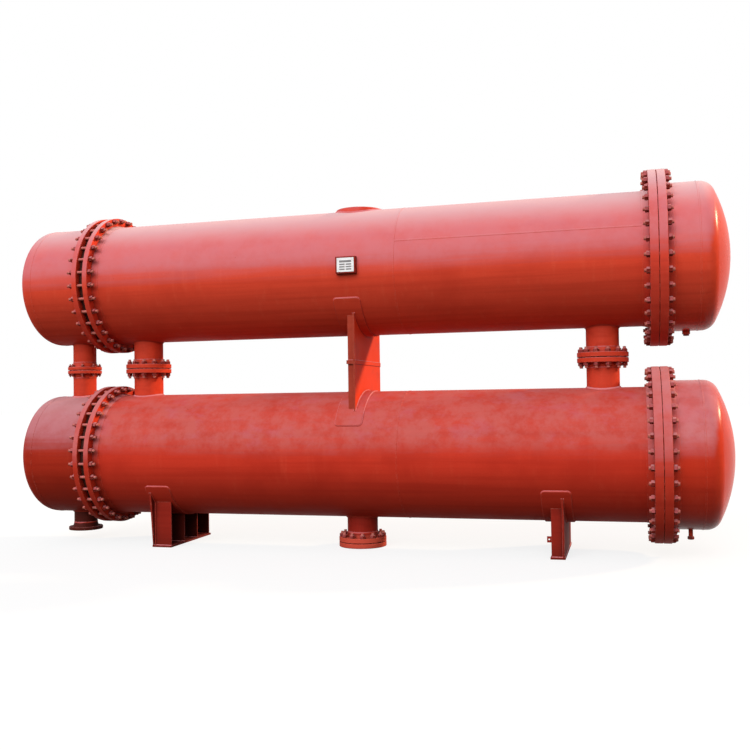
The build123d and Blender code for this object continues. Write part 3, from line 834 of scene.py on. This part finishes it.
bracket_front = middle_of("nameplate_bracket")
bracket_front.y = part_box("nameplate_bracket")[0].y
plate, rivets, fields = Piece(), Piece(), Piece()
sheet_middle = bracket_front - PLATE_SHEET / 2 * Y_AXIS
plate_face = bracket_front - PLATE_SHEET * Y_AXIS
add_block(plate, sheet_middle, PLATE_WIDTH, PLATE_SHEET, PLATE_HEIGHT, PLATE_BEVEL)
for side in (-1, 1):
    upright_bar = plate_face + side * (PLATE_WIDTH - BORDER_WIDTH) / 2 * X_AXIS
    level_bar = plate_face + side * (PLATE_HEIGHT - BORDER_WIDTH) / 2 * Z_AXIS
    add_block(plate, upright_bar, BORDER_WIDTH, BORDER_RISE, PLATE_HEIGHT, BORDER_BEVEL)
    level_length = PLATE_WIDTH - 2 * BORDER_WIDTH
    add_block(plate, level_bar, level_length, BORDER_RISE, BORDER_WIDTH, BORDER_BEVEL)
    for level_side in (-1, 1):
        across = side * (PLATE_WIDTH / 2 - RIVET_INSET) * X_AXIS
        upward = level_side * (PLATE_HEIGHT / 2 - RIVET_INSET) * Z_AXIS
        place = along(plate_face + (across + upward), -Y_AXIS)
        dome = [circle(place, share * RIVET_RADIUS, height, RIVET_SIDES) for height, share in RIVET_DOME]
        rivets.loft(dome)
title = plate_face + TITLE_PLACE * Z_AXIS
add_block(fields, title, 2 * FIELD_WIDTH + FIELD_GAP, FIELD_RISE, TITLE_HEIGHT, FIELD_BEVEL)
for row in range(FIELD_ROWS):
    for side in (-1, 1):
        column = plate_face + side * (FIELD_WIDTH + FIELD_GAP) / 2 * X_AXIS
        centre = column + (FIELD_FIRST - row * FIELD_STEP) * Z_AXIS
        add_block(fields, centre, FIELD_WIDTH, FIELD_RISE, FIELD_HEIGHT, FIELD_BEVEL)
plate.make("nameplate", plate_finish)
rivets.make("nameplate_rivets", plate_finish)
fields.make("nameplate_fields", field_finish)


# Camera, light and floor
def make_camera():
    """Camera at the viewing angle of the object's picture."""
    ahead = Vector((
        math.sin(CAMERA_YAW) * math.cos(CAMERA_PITCH),
        math.cos(CAMERA_YAW) * math.cos(CAMERA_PITCH),
        math.sin(CAMERA_PITCH),
    ))
    level_right = Vector((math.cos(CAMERA_YAW), -math.sin(CAMERA_YAW), 0))
    level_up = level_right.cross(ahead)
    right = math.cos(CAMERA_ROLL) * level_right + math.sin(CAMERA_ROLL) * level_up
    upward = math.cos(CAMERA_ROLL) * level_up - math.sin(CAMERA_ROLL) * level_right
    camera = bpy.data.objects.new("camera", bpy.data.cameras.new("camera"))
    camera.data.lens = CAMERA_LENS
    camera.data.sensor_width = CAMERA_SENSOR
    turn = Matrix((right, upward, -ahead)).transposed().to_4x4()
    camera.matrix_world = Matrix.Translation(CAMERA_PLACE) @ turn
    scene.collection.objects.link(camera)
    scene.camera = camera


def make_sun(name, source, strength, colour, angle):
    """Distant lamp shining from a direction."""
    lamp = bpy.data.lights.new(name, "SUN")
    lamp.energy = strength
    lamp.color = colour
    lamp.angle = angle
    sun = bpy.data.objects.new(name, lamp)
    sun.matrix_world = along((0, 0, LAMP_HEIGHT), source)
    scene.collection.objects.link(sun)


def background_rays(tree):
    """Socket that is 1 for rays that should see the white background."""
    path = tree.nodes.new("ShaderNodeLightPath")
    seen = path.outputs["Is Camera Ray"]
    for kind in ("Is Glossy Ray", "Is Transmission Ray"):
        either = tree.nodes.new("ShaderNodeMath")
        either.operation = "MAXIMUM"
        tree.links.new(seen, either.inputs[0])
        tree.links.new(path.outputs[kind], either.inputs[1])
        seen = either.outputs[0]
    return seen


def make_world():
    """Soft sky that is brighter above, shown as plain white."""
    world = bpy.data.worlds.new("studio")
    scene.world = world
    world.use_nodes = True
    tree = world.node_tree
    tree.nodes.clear()
    coords = tree.nodes.new("ShaderNodeTexCoord")
    split = tree.nodes.new("ShaderNodeSeparateXYZ")
    tree.links.new(coords.outputs["Generated"], split.inputs[0])
    ramp = tree.nodes.new("ShaderNodeMapRange")
    ramp.interpolation_type = "SMOOTHSTEP"
    ramp.inputs["From Min"].default_value = SKY_FADE[0]
    ramp.inputs["From Max"].default_value = SKY_FADE[1]
    tree.links.new(split.outputs[2], ramp.inputs["Value"])
    blend = tree.nodes.new("ShaderNodeMix")
    blend.data_type = "RGBA"
    blend.inputs[6].default_value = (*SKY_LOW, 1)
    blend.inputs[7].default_value = (*SKY_TOP, 1)
    tree.links.new(ramp.outputs[0], blend.inputs[0])
    sky = tree.nodes.new("ShaderNodeBackground")
    sky.inputs["Strength"].default_value = SKY_STRENGTH
    tree.links.new(blend.outputs[2], sky.inputs["Color"])
    white = tree.nodes.new("ShaderNodeBackground")
    white.inputs["Color"].default_value = (*WHITE, 1)
    choose = tree.nodes.new("ShaderNodeMixShader")
    tree.links.new(background_rays(tree), choose.inputs[0])
    tree.links.new(sky.outputs[0], choose.inputs[1])
    tree.links.new(white.outputs[0], choose.inputs[2])
    output = tree.nodes.new("ShaderNodeOutputWorld")
    tree.links.new(choose.outputs[0], output.inputs["Surface"])


def make_floor():
    """Plain pale floor that keeps a soft shadow."""
    half = FLOOR_SIZE / 2
    mesh = bpy.data.meshes.new("floor")
    corners = [(-half, -half, 0), (half, -half, 0), (half, half, 0), (-half, half, 0)]
    mesh.from_pydata(corners, [], [(0, 1, 2, 3)])
    floor = bpy.data.objects.new("floor", mesh)
    scene.collection.objects.link(floor)
    graph = Graph("floor_surface")
    soft = graph.add("ShaderNodeBsdfDiffuse", {"Color": (*FLOOR_BOUNCE, 1)})
    shown = graph.add("ShaderNodeBsdfDiffuse", {"Color": (*FLOOR_PALE, 1)})
    glow = graph.add("ShaderNodeEmission", {"Color": (*WHITE, 1), "Strength": 1.0})
    pale = graph.add("ShaderNodeMixShader", {0: FLOOR_WHITE, 1: shown.outputs[0], 2: glow.outputs[0]})
    inputs = {0: background_rays(graph.tree), 1: soft.outputs[0], 2: pale.outputs[0]}
    choose = graph.add("ShaderNodeMixShader", inputs)
    graph.tree.links.new(choose.outputs[0], graph.output.inputs["Surface"])
    mesh.materials.append(graph.material)


make_camera()
make_world()
make_floor()
make_sun("sun", SUN_FROM, SUN_STRENGTH, SUN_COLOUR, SUN_ANGLE)
make_sun("fill", FILL_FROM, FILL_STRENGTH, WHITE, FILL_ANGLE)
scene.view_settings.view_transform = "Standard"
